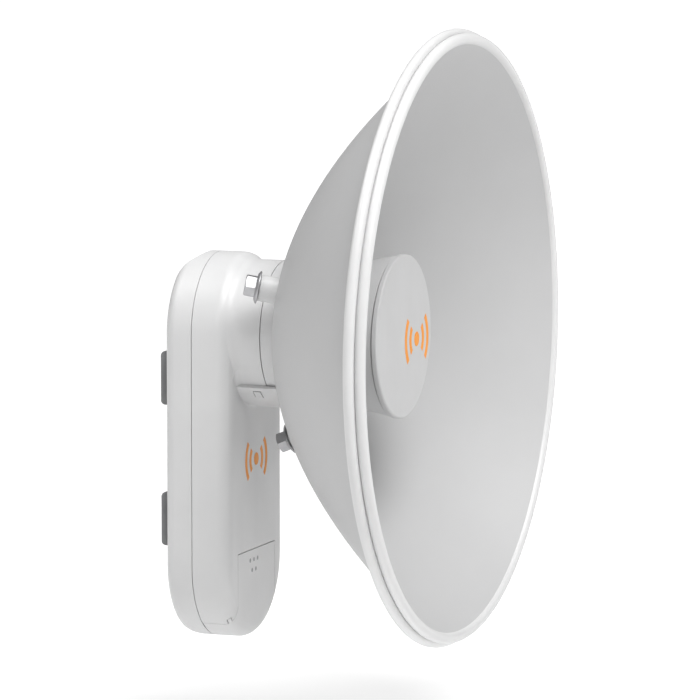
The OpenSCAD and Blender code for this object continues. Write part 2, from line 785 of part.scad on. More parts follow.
reflector();
rim_trim();
hub_ring();
hub_screws();
standoffs();
hub_bolts();
hub_nuts();
feed_base();
feed_tube();
feed_plug();
feed_cone();
cone_screws();
subreflector();
sub_screws();
disc_cap();
disc_emblem();
front_shell();
rear_shell();
case_gasket();
case_screws();
hub_seal();
lock_tab_left();
lock_tab_right();
lock_spring();
port_cover();
cover_seal();
cover_lenses();
cable_gland();
saddle_upper();
saddle_lower();
saddle_screws();
ground_screw();
ground_washer();
vent_plug();
radio_emblem();
main_board();
shield_can();
board_chips();
lan_transformer();
ethernet_jack();
jack_contacts();
status_leds();
light_pipes();
reset_switch();
reset_button();
omt_cup();
probes();
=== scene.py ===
"""Looks of an outdoor wireless bridge: a slim radio that carries a twist-on dish antenna.

Metres, +Z up. The pole's axis is the Z axis and the dish looks along -Y.
"ahead" is a distance forward of the pole's axis, along -Y. "bore" is the dish's own axis.
"""

import math

import bmesh
import bpy
from mathutils import Matrix, Vector


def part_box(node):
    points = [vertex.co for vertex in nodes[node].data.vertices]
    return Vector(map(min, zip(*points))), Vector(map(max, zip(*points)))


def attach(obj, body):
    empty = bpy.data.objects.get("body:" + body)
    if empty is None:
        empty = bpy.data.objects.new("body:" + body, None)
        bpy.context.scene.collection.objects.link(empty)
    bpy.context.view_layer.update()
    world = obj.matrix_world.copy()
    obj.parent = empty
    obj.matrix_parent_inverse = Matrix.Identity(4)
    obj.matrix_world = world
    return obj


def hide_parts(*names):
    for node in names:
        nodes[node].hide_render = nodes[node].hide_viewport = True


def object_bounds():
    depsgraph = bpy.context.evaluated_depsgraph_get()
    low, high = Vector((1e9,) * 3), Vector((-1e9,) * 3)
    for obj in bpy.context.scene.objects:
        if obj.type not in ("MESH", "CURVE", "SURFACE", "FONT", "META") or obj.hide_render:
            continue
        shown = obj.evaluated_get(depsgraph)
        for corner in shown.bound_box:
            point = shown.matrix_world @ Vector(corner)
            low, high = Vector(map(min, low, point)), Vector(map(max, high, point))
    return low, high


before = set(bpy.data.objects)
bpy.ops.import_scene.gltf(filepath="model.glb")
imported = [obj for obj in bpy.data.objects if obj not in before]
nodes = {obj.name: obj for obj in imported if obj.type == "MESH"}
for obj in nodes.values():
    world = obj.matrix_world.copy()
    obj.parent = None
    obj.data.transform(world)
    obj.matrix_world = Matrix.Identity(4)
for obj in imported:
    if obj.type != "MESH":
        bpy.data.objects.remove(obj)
cad_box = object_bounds()

MM = 0.001

# ---- places taken from the frame ---------------------------------------------------------------


def ahead_of(node):
    """How far forward a node reaches, and how far back."""
    low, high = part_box(node)
    return -low.y, -high.y


def width_of(node):
    low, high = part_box(node)
    return high.x - low.x


def middle_of(node):
    low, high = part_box(node)
    return (low + high) / 2


bore_z = middle_of("reflector").z
rim_r = width_of("rim_trim") / 2
lip_ahead = ahead_of("reflector")[0]
cap_ahead = ahead_of("disc_cap")[0]
cap_r = width_of("disc_cap") / 2
cone_front, cone_back = ahead_of("feed_cone")

# ---- driving dimensions of the antenna ---------------------------------------------------------

focal = 48.2 * MM
sheet = 2.4 * MM
lip_r = rim_r - 6 * MM
hole_r = 28.6 * MM
bolt_circle = 41 * MM
bolt_stand = 7.1 * MM
bolt_angles = (-90, 120)
vertex_ahead = lip_ahead - sheet - lip_r**2 / (4 * focal)
bolt_tilt = math.atan(bolt_circle / (2 * focal))


def bowl_back(r):
    """Distance forward of the bowl's rear surface at radius r."""
    return vertex_ahead + r * r / (4 * focal)


# ---- camera and light --------------------------------------------------------------------------

view_azimuth = math.radians(-69.98)
view_height = math.radians(6.61)
view_distance = 2.0178
view_left, view_down = 45.83 * MM, 4.51 * MM
sensor, lens = 36, 257.14
view_right = Vector((math.cos(view_azimuth), math.sin(view_azimuth), 0))
view_back = Vector(
    (
        math.sin(view_azimuth) * math.cos(view_height),
        -math.cos(view_azimuth) * math.cos(view_height),
        math.sin(view_height),
    )
)
view_up = view_back.cross(view_right)

sky_strength = 0.17
light_aim = (0, -0.07, 0.05)
floor_radius = 12
# The radio hangs on a pole, so the floor leaves room for the open port cover.
floor_drop = 40 * MM


def add_camera():
    """A long lens, aimed a little to the left of and below the middle of the dish's lip."""
    lip_centre = Vector((0, -lip_ahead, bore_z))
    place = lip_centre - view_left * view_right - view_down * view_up
    place += view_distance * view_back
    turn = Matrix((view_right, view_up, view_back)).transposed().to_4x4()
    camera = bpy.data.objects.new("camera", bpy.data.cameras.new("camera"))
    camera.data.sensor_width = sensor
    camera.data.lens = lens
    camera.data.clip_start = 0.1
    camera.data.clip_end = 30
    camera.matrix_world = Matrix.Translation(place) @ turn
    bpy.context.scene.collection.objects.link(camera)
    bpy.context.scene.camera = camera


def add_light(name, place, aim, size, power):
    """A round soft light of the given size in metres and power in watts."""
    lamp = bpy.data.lights.new(name, "AREA")
    lamp.shape = "DISK"
    lamp.size = size
    lamp.energy = power
    holder = bpy.data.objects.new(name, lamp)
    holder.location = place
    holder.rotation_mode = "QUATERNION"
    holder.rotation_quaternion = (Vector(aim) - Vector(place)).to_track_quat("-Z", "Y")
    bpy.context.scene.collection.objects.link(holder)


def add_surroundings():
    """Faint light from all round, a key light in front, a back light and a pale floor."""
    world = bpy.data.worlds.new("studio")
    world.use_nodes = True
    sky = world.node_tree.nodes["Background"].inputs
    sky["Color"].default_value = (1, 1, 1, 1)
    sky["Strength"].default_value = sky_strength
    bpy.context.scene.world = world
    bpy.context.scene.view_settings.view_transform = "Standard"
    add_light("key_light", (-0.42, -0.72, 1.35), light_aim, 1.1, 31)
    add_light("back_light", (-0.45, 0.9, 1.3), light_aim, 0.7, 9)

    mesh = bmesh.new()
    bmesh.ops.create_circle(mesh, cap_ends=True, radius=floor_radius, segments=96)
    mesh.transform(Matrix.Translation((0, 0, cad_box[0].z - floor_drop)))
    floor = finished_mesh("floor", mesh, studio_floor())


# ---- node trees --------------------------------------------------------------------------------


def wire(tree, kind, values=None, **settings):
    """A new node, with its inputs set to values or joined to other nodes' sockets."""
    node = tree.nodes.new(kind)
    for key, value in settings.items():
        setattr(node, key, value)
    for key, value in (values or {}).items():
        socket = node.inputs[key]
        if isinstance(value, bpy.types.NodeSocket):
            tree.links.new(value, socket)
        else:
            socket.default_value = value
    return node


def spread(tree, value, low, high, start=0.3, end=0.7):
    """Maps the middle of a noise's range to low..high."""
    values = {"Value": value, 1: start, 2: end, 3: low, 4: high}
    return wire(tree, "ShaderNodeMapRange", values).outputs[0]


def noise(tree, place, size, detail=2.0, stretch=(1, 1, 1)):
    """Noise whose blotches are about size across, in metres."""
    if stretch != (1, 1, 1):
        place = wire(tree, "ShaderNodeMapping", {"Vector": place, "Scale": stretch}).outputs[0]
    values = {"Vector": place, "Scale": 1 / size, "Detail": detail, "Roughness": 0.55}
    return wire(tree, "ShaderNodeTexNoise", values).outputs[0]


def two_tone(tree, factor, one, other):
    """Colour that runs from one tone to the other as the factor goes from 0 to 1."""
    mix = wire(tree, "ShaderNodeMix", {"Factor": factor}, data_type="RGBA")
    mix.inputs[6].default_value = (*one, 1)
    mix.inputs[7].default_value = (*other, 1)
    return mix.outputs[2]


def start_material(name):
    """An empty material, with its tree and the socket of each point's place on the object."""
    material = bpy.data.materials.new(name)
    material.use_nodes = True
    tree = material.node_tree
    tree.nodes.clear()
    place = wire(tree, "ShaderNodeTexCoord").outputs["Object"]
    return material, tree, place


def end_material(tree, colour, rough, normal, **fixed):
    """Joins the Principled shader to the output. Fixed values are the same all over the surface."""
    shader = wire(tree, "ShaderNodeBsdfPrincipled", {"Base Color": colour, "Roughness": rough})
    if normal is not None:
        tree.links.new(normal, shader.inputs["Normal"])
    for key, value in fixed.items():
        shader.inputs[key.replace("_", " ")].default_value = value
    wire(tree, "ShaderNodeOutputMaterial", {"Surface": shader.outputs[0]})
    return shader


def bump(tree, height, depth):
    """Normal of a relief that is depth metres deep."""
    values = {"Height": height, "Distance": depth, "Strength": 1.0}
    return wire(tree, "ShaderNodeBump", values).outputs[0]


def moulded_plastic(name, light, dark, rough=(0.36, 0.46), grain=0.35 * MM, depth=0.012 * MM):
    """Injection-moulded plastic: a fine eroded texture, slow tone drift and faint flow lines."""
    material, tree, place = start_material(name)
    drift = noise(tree, place, 28 * MM, 3)
    flow = noise(tree, place, 9 * MM, 2, (1, 1, 0.2))
    specks = noise(tree, place, grain, 3)
    tone = two_tone(tree, spread(tree, drift, 0, 1), dark, light)
    shine = spread(tree, flow, *rough)
    end_material(tree, tone, shine, bump(tree, specks, depth))
    return material


def powder_coat(name, light, dark):
    """Sprayed and baked paint on spun sheet: orange peel over a slow tone drift."""
    material, tree, place = start_material(name)
    drift = noise(tree, place, 60 * MM, 3)
    peel = noise(tree, place, 1.6 * MM, 2)
    grit = noise(tree, place, 0.35 * MM, 2)
    height = wire(tree, "ShaderNodeMath", {0: peel, 1: grit}, operation="ADD").outputs[0]
    tone = two_tone(tree, spread(tree, drift, 0, 1), dark, light)
    shine = spread(tree, grit, 0.42, 0.56)
    end_material(tree, tone, shine, bump(tree, height, 0.02 * MM))
    return material


def turned_metal(name, light, dark, rough=(0.22, 0.4)):
    """Machined or drawn metal: fine parallel marks and a patchy dull film."""
    material, tree, place = start_material(name)
    marks = noise(tree, place, 0.5 * MM, 3, (1, 6, 1))
    film = noise(tree, place, 4 * MM, 3)
    tone = two_tone(tree, spread(tree, film, 0, 1), dark, light)
    shine = spread(tree, marks, *rough)
    end_material(tree, tone, shine, bump(tree, marks, 0.006 * MM), Metallic=1.0)
    return material


def circuit_board(name):
    """Green solder mask with tinned tracks and pads."""
    material, tree, place = start_material(name)
    grid = wire(tree, "ShaderNodeMapping", {"Vector": place, "Scale": (420, 420, 420)}).outputs[0]
    cells = wire(
        tree, "ShaderNodeTexVoronoi", {"Vector": grid, "Scale": 1.0}, distance="CHEBYCHEV"
    ).outputs["Distance"]
    pads = spread(tree, cells, 1, 0, 0.10, 0.14)
    weave = noise(tree, place, 3 * MM, 2)
    mask = two_tone(tree, spread(tree, weave, 0, 1), (0.006, 0.055, 0.02), (0.01, 0.09, 0.035))
    tone = wire(tree, "ShaderNodeMix", {"Factor": pads, 6: mask}, data_type="RGBA")
    tone.inputs[7].default_value = (0.62, 0.55, 0.38, 1)
    shine = spread(tree, weave, 0.25, 0.4)
    end_material(tree, tone.outputs[2], shine, bump(tree, pads, 0.02 * MM))
    return material


def milky_plastic(name, light, dark):
    """Natural, slightly see-through plastic of the feed."""
    material, tree, place = start_material(name)
    drift = noise(tree, place, 12 * MM, 3)
    specks = noise(tree, place, 0.6 * MM, 2)
    tone = two_tone(tree, spread(tree, drift, 0, 1), dark, light)
    shine = spread(tree, specks, 0.3, 0.42)
    soft = {"Subsurface_Weight": 0.25, "Subsurface_Scale": 2 * MM}
    end_material(tree, tone, shine, bump(tree, specks, 0.01 * MM), **soft)
    return material


def studio_floor():
    """Pale matt floor that glows, less so under the object than far away."""
    material, tree, place = start_material("studio_floor")
    drift = noise(tree, place, 0.7, 2)
    tone = two_tone(tree, spread(tree, drift, 0, 1), (0.5, 0.5, 0.5), (0.52, 0.52, 0.52))
    away = wire(tree, "ShaderNodeVectorMath", {0: place}, operation="LENGTH").outputs["Value"]
    glow = spread(tree, away, 0.66, 1.0, 0.2, 2.2)
    shine = spread(tree, drift, 0.75, 0.8)
    shader = end_material(tree, tone, shine, None, Emission_Color=(1, 1, 1, 1))
    tree.links.new(glow, shader.inputs["Emission Strength"])
    return material


white_shell = moulded_plastic("white_shell", (0.60, 0.60, 0.60), (0.575, 0.575, 0.577))
white_part = moulded_plastic("white_part", (0.59, 0.59, 0.59), (0.56, 0.56, 0.562), (0.4, 0.5))
rim_gloss = moulded_plastic(
    "rim_gloss", (0.63, 0.63, 0.63), (0.61, 0.61, 0.61), (0.36, 0.42), 0.3 * MM, 0.001 * MM
)
cap_grey = moulded_plastic("cap_grey", (0.5, 0.5, 0.502), (0.475, 0.475, 0.477), (0.45, 0.55))
lug_grey = moulded_plastic(
    "lug_grey", (0.31, 0.315, 0.32), (0.27, 0.275, 0.28), (0.45, 0.6), 0.5 * MM, 0.02 * MM
)
mark_orange = moulded_plastic(
    "mark_orange", (0.81, 0.29, 0.012), (0.76, 0.26, 0.01), (0.45, 0.55), 0.6 * MM, 0.008 * MM
)
seal_black = moulded_plastic(
    "seal_black", (0.03, 0.03, 0.031), (0.018, 0.018, 0.02), (0.6, 0.8), 0.4 * MM, 0.02 * MM
)
part_black = moulded_plastic("part_black", (0.035, 0.035, 0.037), (0.022, 0.022, 0.024), (0.4, 0.55))
cap_red = moulded_plastic("cap_red", (0.5, 0.03, 0.02), (0.42, 0.02, 0.015))
lens_smoke = moulded_plastic("lens_smoke", (0.19, 0.2, 0.21), (0.14, 0.145, 0.15), (0.12, 0.2))
guide_clear = milky_plastic("guide_clear", (0.75, 0.8, 0.82), (0.68, 0.73, 0.76))
feed_white = milky_plastic("feed_white", (0.8, 0.79, 0.73), (0.72, 0.71, 0.65))
dish_paint = powder_coat("dish_paint", (0.47, 0.47, 0.472), (0.45, 0.45, 0.452))
screw_steel = turned_metal("screw_steel", (0.62, 0.62, 0.63), (0.5, 0.5, 0.51))
bolt_zinc = turned_metal("bolt_zinc", (0.5, 0.5, 0.51), (0.41, 0.41, 0.42), (0.42, 0.55))
bright_alloy = turned_metal("bright_alloy", (0.8, 0.8, 0.81), (0.7, 0.7, 0.71), (0.25, 0.4))
gold_plate = turned_metal("gold_plate", (0.83, 0.6, 0.22), (0.7, 0.48, 0.15), (0.18, 0.3))
green_board = circuit_board("green_board")


# ---- meshes ------------------------------------------------------------------------------------


def finished_mesh(name, mesh, material, sharp=35):
    """Turns a bmesh into an object with smooth faces and crisp edges."""
    data = bpy.data.meshes.new(name)
    mesh.to_mesh(data)
    mesh.free()
    data.materials.append(material)
    data.shade_smooth()
    data.set_sharp_from_angle(angle=math.radians(sharp))
    made = bpy.data.objects.new(name, data)
    bpy.context.scene.collection.objects.link(made)
    return made


def place_piece(piece, body, slot, *replaced):
    """Says which body a piece rides on and the CAD nodes that it stands for. The slot argument is not
    used.
    """
    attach(piece, body)
    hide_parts(*replaced)


ahead_to_world = Matrix.Translation((0, 0, bore_z)) @ Matrix.Rotation(math.radians(90), 4, "X")


def turn_profile(mesh, profile, steps):
    """Spins a closed run of (radius, height) points about Z. A point at radius 0 is a pole."""
    rings = []
    for r, z in profile:
        if r < 1e-9:
            rings.append([mesh.verts.new((0, 0, z))])
            continue
        ring = [2 * math.pi * i / steps for i in range(steps)]
        rings.append([mesh.verts.new((r * math.cos(a), r * math.sin(a), z)) for a in ring])
    count = len(rings)
    for i in range(count):
        low, high = rings[i], rings[(i + 1) % count]
        if len(low) == 1 and len(high) == 1:
            continue
        for k in range(steps):
            n = (k + 1) % steps
            if len(low) == 1:
                mesh.faces.new((low[0], high[n], high[k]))
            elif len(high) == 1:
                mesh.faces.new((low[k], low[n], high[0]))
            else:
                mesh.faces.new((low[k], low[n], high[n], high[k]))
    return mesh


def arc(centre_r, centre_z, radius, start, end, count=8):
    """Points of an arc in a profile, from start to end degrees."""
    angles = [math.radians(start + (end - start) * i / count) for i in range(count + 1)]
    return [(centre_r + radius * math.cos(a), centre_z + radius * math.sin(a)) for a in angles]


def turned_piece(name, profile, material, steps, sharp):
    """A piece turned about the bore."""
    mesh = turn_profile(bmesh.new(), profile, steps)
    bmesh.ops.recalc_face_normals(mesh, faces=mesh.faces)
    mesh.transform(ahead_to_world)
    return finished_mesh(name, mesh, material, sharp)


# ---- geometry node trees -----------------------------------------------------------------------


def geometry_tree(name, inputs):
    """A tree with geometry in and out and named inputs. Returns it and its input sockets."""
    tree = bpy.data.node_groups.new(name, "GeometryNodeTree")
    tree.interface.new_socket("Geometry", in_out="INPUT", socket_type="NodeSocketGeometry")
    for label, kind, value in inputs:
        socket = tree.interface.new_socket(label, in_out="INPUT", socket_type="NodeSocket" + kind)
        if value is not None:
            socket.default_value = value
    tree.interface.new_socket("Geometry", in_out="OUTPUT", socket_type="NodeSocketGeometry")
    return tree, wire(tree, "NodeGroupInput").outputs


def end_tree(tree, geometry, material):
    """Ends a tree with its copies made real and its material set."""
    whole = wire(tree, "GeometryNodeRealizeInstances", {"Geometry": geometry}).outputs[0]
    done = wire(tree, "GeometryNodeSetMaterial", {"Geometry": whole, "Material": material})
    wire(tree, "NodeGroupOutput", {"Geometry": done.outputs[0]})


def calc(tree, operation, one, other=0.0):
    """One step of arithmetic in a tree."""
    return wire(tree, "ShaderNodeMath", {0: one, 1: other}, operation=operation).outputs[0]


def run_tree(holder, tree, values, sharp=35, after=None):
    """Runs a tree on an object, makes the result a plain mesh and takes the modifier off."""
    modifier = holder.modifiers.new(tree.name, "NODES")
    modifier.node_group = tree
    for item in tree.interface.items_tree:
        if item.in_out == "INPUT" and item.name in values:
            modifier[item.identifier] = values[item.name]
    seen = holder.evaluated_get(bpy.context.evaluated_depsgraph_get())
    data = bpy.data.meshes.new_from_object(seen)
    data.name = holder.name
    holder.modifiers.clear()
    holder.data = data
    if after is not None:
        data.transform(after)
    data.shade_smooth()
    data.set_sharp_from_angle(angle=math.radians(sharp))
    return holder


def bowl_tree():
    """Paraboloid sheet: a grid wrapped round the bore, closed, then given its thickness."""
    inputs = [
        ("Hole Radius", "Float", 0.03),
        ("Lip Radius", "Float", 0.12),
        ("Focal Length", "Float", 0.05),
        ("Vertex", "Float", 0.0),
        ("Thickness", "Float", 0.002),
        ("Rings", "Int", 48),
        ("Segments", "Int", 192),
        ("Material", "Material", None),
    ]
    tree, given = geometry_tree("paraboloid_bowl", inputs)
    columns = calc(tree, "ADD", given["Segments"], 1)
    grid = wire(
        tree,
        "GeometryNodeMeshGrid",
        {"Size X": 1.0, "Size Y": 1.0, "Vertices X": given["Rings"], "Vertices Y": columns},
    ).outputs["Mesh"]
    place = wire(tree, "GeometryNodeInputPosition").outputs[0]
    split = wire(tree, "ShaderNodeSeparateXYZ", {0: place}).outputs
    along = calc(tree, "ADD", split[0], 0.5)
    around = calc(tree, "MULTIPLY", calc(tree, "ADD", split[1], 0.5), 2 * math.pi)
    reach = calc(tree, "SUBTRACT", given["Lip Radius"], given["Hole Radius"])
    radius = calc(tree, "ADD", given["Hole Radius"], calc(tree, "MULTIPLY", along, reach))
    rise = calc(tree, "DIVIDE", calc(tree, "MULTIPLY", radius, radius), given["Focal Length"])
    height = calc(tree, "ADD", given["Vertex"], calc(tree, "MULTIPLY", rise, 0.25))
    wrapped = wire(
        tree,
        "ShaderNodeCombineXYZ",
        {
            0: calc(tree, "MULTIPLY", radius, calc(tree, "COSINE", around)),
            1: calc(tree, "MULTIPLY", radius, calc(tree, "SINE", around)),
            2: height,
        },
    ).outputs[0]
    back = wire(tree, "GeometryNodeSetPosition", {"Geometry": grid, "Position": wrapped}).outputs[0]
    back = wire(tree, "GeometryNodeMergeByDistance", {"Geometry": back, "Distance": 1e-6}).outputs[0]
    lift = wire(tree, "ShaderNodeCombineXYZ", {2: given["Thickness"]}).outputs[0]
    front = wire(
        tree,
        "GeometryNodeExtrudeMesh",
        {"Mesh": back, "Offset": lift, "Offset Scale": 1.0, "Individual": False},
        mode="FACES",
    ).outputs[0]
    shut = wire(tree, "GeometryNodeFlipFaces", {"Mesh": back}).outputs[0]
    both = wire(tree, "GeometryNodeJoinGeometry")
    tree.links.new(front, both.inputs[0])
    tree.links.new(shut, both.inputs[0])
    whole = wire(
        tree, "GeometryNodeMergeByDistance", {"Geometry": both.outputs[0], "Distance": 1e-6}
    ).outputs[0]
    end_tree(tree, whole, given["Material"])
    return tree


def ring_tree():
    """Copies of the object's own mesh, turned about Z."""
    inputs = [
        ("Copies", "Int", 3),
        ("First Angle", "Float", 0.0),
        ("Step Angle", "Float", 2.0),
        ("Material", "Material", None),
    ]
    tree, given = geometry_tree("ring_of_copies", inputs)
    points = wire(tree, "GeometryNodePoints", {"Count": given["Copies"]}).outputs[0]
    index = wire(tree, "GeometryNodeInputIndex").outputs[0]
    angle = calc(tree, "ADD", given["First Angle"], calc(tree, "MULTIPLY", index, given["Step Angle"]))
    turn = wire(tree, "ShaderNodeCombineXYZ", {2: angle}).outputs[0]
    copies = wire(
        tree,
        "GeometryNodeInstanceOnPoints",
        {"Points": points, "Instance": given["Geometry"], "Rotation": turn},
    ).outputs[0]
    end_tree(tree, copies, given["Material"])
    return tree


def grid_tree():
    """Copies of the object's own mesh on the corners of a rectangular grid."""
    inputs = [
        ("Columns", "Int", 2),
        ("Rows", "Int", 2),
        ("Width", "Float", 0.03),
        ("Height", "Float", 0.02),
        ("Material", "Material", None),
    ]
    tree, given = geometry_tree("grid_of_copies", inputs)
    grid = wire(
        tree,
        "GeometryNodeMeshGrid",
        {
            "Size X": given["Width"],
            "Size Y": given["Height"],
            "Vertices X": given["Columns"],
            "Vertices Y": given["Rows"],
        },
    ).outputs["Mesh"]
    copies = wire(
        tree, "GeometryNodeInstanceOnPoints", {"Points": grid, "Instance": given["Geometry"]}
    ).outputs[0]
    end_tree(tree, copies, given["Material"])
    return tree


paraboloid_bowl = bowl_tree()
ring_of_copies = ring_tree()
grid_of_copies = grid_tree()

# ---- antenna -----------------------------------------------------------------------------------


def make_bowl():
    """Dish, its lip hidden in the bead round it."""
    holder = finished_mesh("dish_bowl", bmesh.new(), dish_paint)
    values = {
        "Hole Radius": hole_r,
        "Lip Radius": lip_r + 0.6 * MM,
        "Focal Length": focal,
        "Vertex": vertex_ahead,
        "Thickness": sheet,
        "Rings": 56,
        "Segments": 256,
        "Material": dish_paint,
    }
    bowl = run_tree(holder, paraboloid_bowl, values, 50, ahead_to_world)
    place_piece(bowl, "antenna", "dish_metal", "reflector")


def two_beads(front_r, front_h, front_bead, back_r, back_h, back_bead):
    """Outline round two touching beads, with the crease between them eased."""
    count, crispness = 88, 40
    mid_r, mid_h = (front_r + back_r) / 2, (front_h + back_h) / 2
    outline = []
    for i in range(count):
        a = 2 * math.pi * i / count
        total = 0.0
        for r, h, bead in ((front_r, front_h, front_bead), (back_r, back_h, back_bead)):
            along = (r - mid_r) * math.cos(a) + (h - mid_h) * math.sin(a)
            across = (r - mid_r) * math.sin(a) - (h - mid_h) * math.cos(a)
            reach = along + math.sqrt(max(bead**2 - across**2, 0))
            total += (max(reach, 1e-6) / front_bead) ** crispness
        reach = front_bead * total ** (1 / crispness)
        outline.append((mid_r + reach * math.cos(a), mid_h + reach * math.sin(a)))
    return outline


def make_rim():
    """Glossy double bead clipped over the dish's lip."""
    outline = two_beads(
        lip_r + 1.9 * MM,
        lip_ahead - 0.75 * MM,
        2.25 * MM,
        lip_r + 3.8 * MM,
        lip_ahead - 4.72 * MM,
        2.2 * MM,
    )
    rim = turned_piece("rim_bead", outline, rim_gloss, 256, 60)
    place_piece(rim, "antenna", "rim_plastic", "rim_trim")


def make_disc():
    """Round cap over the sub-reflector: a flat face with a rounded edge and a skirt."""
    edge, wall, thick = 0.8 * MM, 1.8 * MM, 1.4 * MM
    skirt = ahead_of("disc_cap")[1]
    inner = cap_r - wall
    profile = [(0, cap_ahead), (cap_r * 0.5, cap_ahead), (cap_r - 2 * edge, cap_ahead)]
    profile += arc(cap_r - edge, cap_ahead - edge, edge, 90, 0, 6)
    profile += [(cap_r, skirt + 0.3 * MM), (cap_r - 0.3 * MM, skirt), (inner, skirt)]
    profile += [(inner, cap_ahead - thick), (0, cap_ahead - thick)]
    disc = turned_piece("disc_cover", profile, cap_grey, 192, 40)
    place_piece(disc, "antenna", "cap_plastic", "disc_cap")


def make_cone():
    """Flared housing between the dish and the cap, on a flange with a soft root."""
    foot = cap_r - 7.2 * MM
    mouth = cap_r - 0.5 * MM
    flange = foot + 5.5 * MM
    thick = 1.6 * MM
    profile = [(foot - thick, cone_back), (flange, cone_back)]
    profile += arc(flange - 0.6 * MM, cone_back + thick - 0.6 * MM, 0.6 * MM, 0, 90, 4)
    profile += arc(foot + 1.5 * MM, cone_back + thick + 1.2 * MM, 1.2 * MM, 270, 190, 6)
    profile += [(mouth - 0.1 * MM, cone_front - 0.5 * MM), (mouth - 0.3 * MM, cone_front)]
    profile += [(mouth - 1.4 * MM, cone_front), (foot - thick, cone_back + thick)]
    cone = turned_piece("feed_horn", profile, cap_grey, 160, 40)
    place_piece(cone, "antenna", "cap_plastic", "feed_cone")


# ---- bolts and screws --------------------------------------------------------------------------


def hexagon(mesh, flats, base, top):
    """Hexagon bar with its upper corners turned off to a cone."""
    steps = 72
    half = flats / 2
    corner = half / math.cos(math.radians(30))
    levels = [base, base + 0.15 * MM] + [top - 1.1 * MM * (1 - i / 6) for i in range(7)]
    rings = []
    for z in levels:
        turned = half * 0.93 + (top - z) * 1.9
        if z == base:
            turned = corner - 0.15 * MM
        ring = []
        for i in range(steps):
            a = 2 * math.pi * i / steps
            flat = (math.degrees(a) + 30) % 60 - 30
            r = min(half / math.cos(math.radians(flat)), turned, corner)
            ring.append(mesh.verts.new((r * math.cos(a), r * math.sin(a), z)))
        rings.append(ring)
    for low, high in zip(rings, rings[1:]):
        for k in range(steps):
            n = (k + 1) % steps
            mesh.faces.new((low[k], low[n], high[n], high[k]))
    mesh.faces.new(list(reversed(rings[0])))
    mesh.faces.new(rings[-1])


bolt_seat = Matrix.Translation((bolt_circle, 0, bowl_back(bolt_circle))) @ Matrix.Rotation(
    math.pi - bolt_tilt, 4, "Y"
)
bolt_ring = {
    "Copies": 3,
    "First Angle": math.radians(bolt_angles[0]),
    "Step Angle": math.radians(bolt_angles[1]),
}


def at_the_bolts(name, mesh, material, slot, node, sharp=30):
    """Three copies of a mesh on the bolt axes. Its Z is 0 at the bowl and points away from it."""
    bmesh.ops.recalc_face_normals(mesh, faces=mesh.faces)
    mesh.transform(bolt_seat)
    piece = finished_mesh(name, mesh, material)
    run_tree(piece, ring_of_copies, {**bolt_ring, "Material": material}, sharp, ahead_to_world)
    place_piece(piece, "antenna", slot, node)


def make_bolts():
    """Flanged hexagon bolts on their sleeves behind the dish, and the nuts in front of it."""
    flats = 8 * MM
    flange_r, flange_t = 6.6 * MM, 1.5 * MM
    shank_r, shank_end = 2.5 * MM, -9.4 * MM
    edge = 0.4 * MM
    mesh = bmesh.new()
    profile = [(0, shank_end), (shank_r - edge, shank_end), (shank_r, shank_end + edge)]
    profile += [(shank_r, bolt_stand), (flange_r - edge, bolt_stand)]
    profile += arc(flange_r - edge, bolt_stand + edge, edge, -80, 60, 5)
    profile += [(5.0 * MM, bolt_stand + flange_t), (0, bolt_stand + flange_t)]
    turn_profile(mesh, profile, 72)
    hexagon(mesh, flats, bolt_stand + flange_t - 0.2 * MM, bolt_stand + 5.9 * MM)
    at_the_bolts("flange_bolts", mesh, bolt_zinc, "steel", "hub_bolts")

    mesh = bmesh.new()
    hexagon(mesh, flats, -5.6 * MM, -5.6 * MM + 3.6 * MM)
    mesh.transform(Matrix.Scale(-1, 4, Vector((0, 0, 1))))
    mesh.transform(Matrix.Translation((0, 0, -11.2 * MM)))
    at_the_bolts("bolt_nuts", mesh, bolt_zinc, "steel", "hub_nuts")

    sleeve_r, bore_r = 5.6 * MM, 2.8 * MM
    profile = [(bore_r, -1.2 * MM), (sleeve_r, -1.2 * MM), (sleeve_r, 0.4 * MM)]
    profile += [(sleeve_r - 0.25 * MM, 3 * MM)]
    profile += arc(sleeve_r - 0.65 * MM, bolt_stand - 0.5 * MM, 0.4 * MM, 0, 90, 4)
    profile += [(bore_r, bolt_stand - 0.1 * MM)]
    mesh = turn_profile(bmesh.new(), profile, 96)
    at_the_bolts("bolt_sleeves", mesh, white_part, "white_plastic", "standoffs")


# ---- CAD nodes shown with eased edges ----------------------------------------------------------


def welded(node):
    """A copy of a CAD node's mesh with its faces joined."""
    mesh = bmesh.new()
    mesh.from_mesh(nodes[node].data)
    bmesh.ops.remove_doubles(mesh, verts=mesh.verts, dist=1e-6)
    return mesh


def eased_copy(name, node, material, body, slot, width):
    """A copy of a CAD node with its sharp edges given a small radius."""
    mesh = welded(node)
    bmesh.ops.dissolve_limit(
        mesh, angle_limit=math.radians(0.5), verts=mesh.verts, edges=mesh.edges, delimit=set()
    )
    piece = finished_mesh(name, mesh, material)
    bevel = piece.modifiers.new("edges", "BEVEL")
    bevel.width = width
    bevel.segments = 2
    bevel.limit_method = "ANGLE"
    bevel.angle_limit = math.radians(40)
    bevel.harden_normals = True
    bevel.use_clamp_overlap = True
    place_piece(piece, body, slot, node)


def flat_print(name, node, body, slot, material):
    """A printed mark: a CAD node's outline, as thin as paint."""
    thickness = 0.06 * MM
    mesh = welded(node)
    front, back = ahead_of(node)
    for point in mesh.verts:
        share = (-point.co.y - back) / (front - back)
        point.co.y = -back - share * thickness
    place_piece(finished_mesh(name, mesh, material), body, slot, node)


